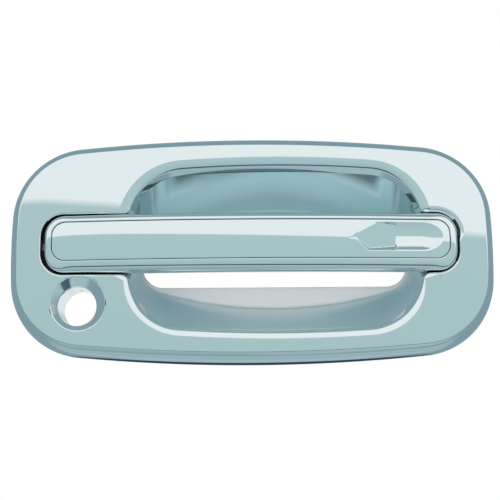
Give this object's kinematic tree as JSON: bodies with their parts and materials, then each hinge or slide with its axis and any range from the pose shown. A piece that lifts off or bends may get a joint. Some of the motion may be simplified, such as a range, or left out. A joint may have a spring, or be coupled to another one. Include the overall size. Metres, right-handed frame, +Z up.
{
  "type": "exterior door handle",
  "caption": "Rounded bright bezel with a finger pocket, a pull bar hinged at one end, a release lever behind and an empty lock hole.",
  "frame": {"origin": "midway between the two mounting studs, on the outer face of the door skin", "axes": "+X along the bar from its hinge to its latch end, +Y into the door, +Z up"},
  "size_m": [0.2498, 0.0674, 0.1184],
  "materials": {
    "bright_chrome": "mirror-bright plating over moulded plastic",
    "black_nylon": "satin black glass-filled nylon",
    "clip_nylon": "natural nylon",
    "acetal": "smooth white acetal",
    "foam_rubber": "closed-cell foam",
    "soft_rubber": "matt moulded rubber",
    "zinc_plated_steel": "bright zinc plating",
    "plain_steel": "turned steel",
    "spring_steel": "dark oiled spring steel",
    "cast_zinc": "die-cast, lightly grained"
  },
  "bodies": {
    "base": {"bezel_shell": "bright_chrome", "pocket_cup": "bright_chrome", "carrier_frame": "black_nylon", "perimeter_gasket": "foam_rubber", "mounting_studs": "zinc_plated_steel", "carrier_screws": "zinc_plated_steel", "lock_sleeve": "bright_chrome", "lock_retaining_clip": "spring_steel", "lock_seal": "foam_rubber", "hinge_bracket": "zinc_plated_steel", "hinge_pin": "plain_steel", "hinge_pin_ring": "spring_steel", "hinge_rivets": "plain_steel", "lever_bracket": "zinc_plated_steel", "lever_shaft_pin": "plain_steel", "lever_shaft_ring": "spring_steel", "lever_rivets": "plain_steel", "arm_guide": "acetal", "stop_bumpers": "soft_rubber", "return_spring": "spring_steel"},
    "pull_handle": {"grip_shell": "bright_chrome", "grip_back": "black_nylon", "grip_core": "zinc_plated_steel", "hinge_knuckle": "cast_zinc", "knuckle_bush_upper": "acetal", "knuckle_bush_lower": "acetal", "pull_arm": "cast_zinc", "knuckle_screws": "zinc_plated_steel", "arm_screws": "zinc_plated_steel"},
    "lever": {"release_lever": "zinc_plated_steel", "lever_bush": "acetal"},
    "rod_clip": {"rod_clip": "clip_nylon"}
  },
  "joints": [
    {"name": "handle_pull", "type": "hinge", "parent": "base", "child": "pull_handle", "pos_m": [-0.094, 0.0036, 0.002], "axis": [0, 0, -1], "range_deg": [0, 6.5]},
    {"name": "lever_turn", "type": "hinge", "parent": "base", "child": "lever", "pos_m": [0.105, 0.02378, 0.02115], "axis": [-1, 0, 0], "range_deg": [0, 59], "stiffness_Nm_per_rad": 0.2, "springref_deg": -45.84, "deforming": ["return_spring"]},
    {"name": "rod_clip_turn", "type": "hinge", "parent": "lever", "child": "rod_clip", "pos_m": [0.1055, 0.0419, 0.0296], "axis": [1, 0, 0], "range_deg": [0, 90]}
  ],
  "couplings": [
    {"joint": "lever_turn", "follows": "handle_pull", "ratio": 9.0689}
  ]
}
